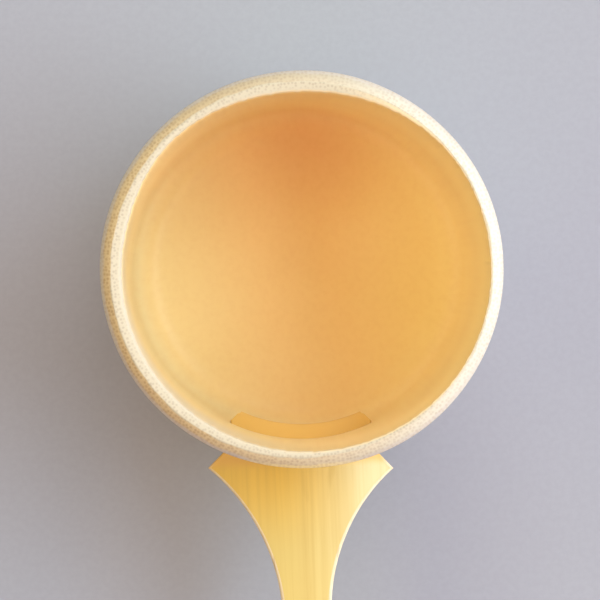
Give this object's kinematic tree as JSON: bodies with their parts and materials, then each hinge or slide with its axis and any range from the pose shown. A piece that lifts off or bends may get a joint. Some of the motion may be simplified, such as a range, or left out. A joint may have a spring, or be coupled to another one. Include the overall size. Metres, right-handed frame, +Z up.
{
  "type": "tea ceremony ladle",
  "caption": "Bamboo tea ladle: an upright culm cup with a bevelled rim, and a long slim handle with a flared head whose tongue passes through the cup's wall and shows inside as a crescent.",
  "frame": {"origin": "middle of the cup's flat foot, where the cup's axis meets the surface that it stands on", "axes": "+Z up along the cup's axis, the handle leaves towards -Y and rises slightly, +X to the right seen from the handle's end"},
  "size_m": [0.06, 0.3455, 0.0676],
  "materials": {
    "cup_bamboo": "bare bamboo, smooth inside, end grain dots on the rim's bevel, satin skin outside",
    "handle_bamboo": "bare bamboo, satin skin side with fine lengthwise fibres, matt cut edges"
  },
  "bodies": {
    "root": {"cup": "cup_bamboo", "handle": "handle_bamboo"}
  },
  "joints": []
}
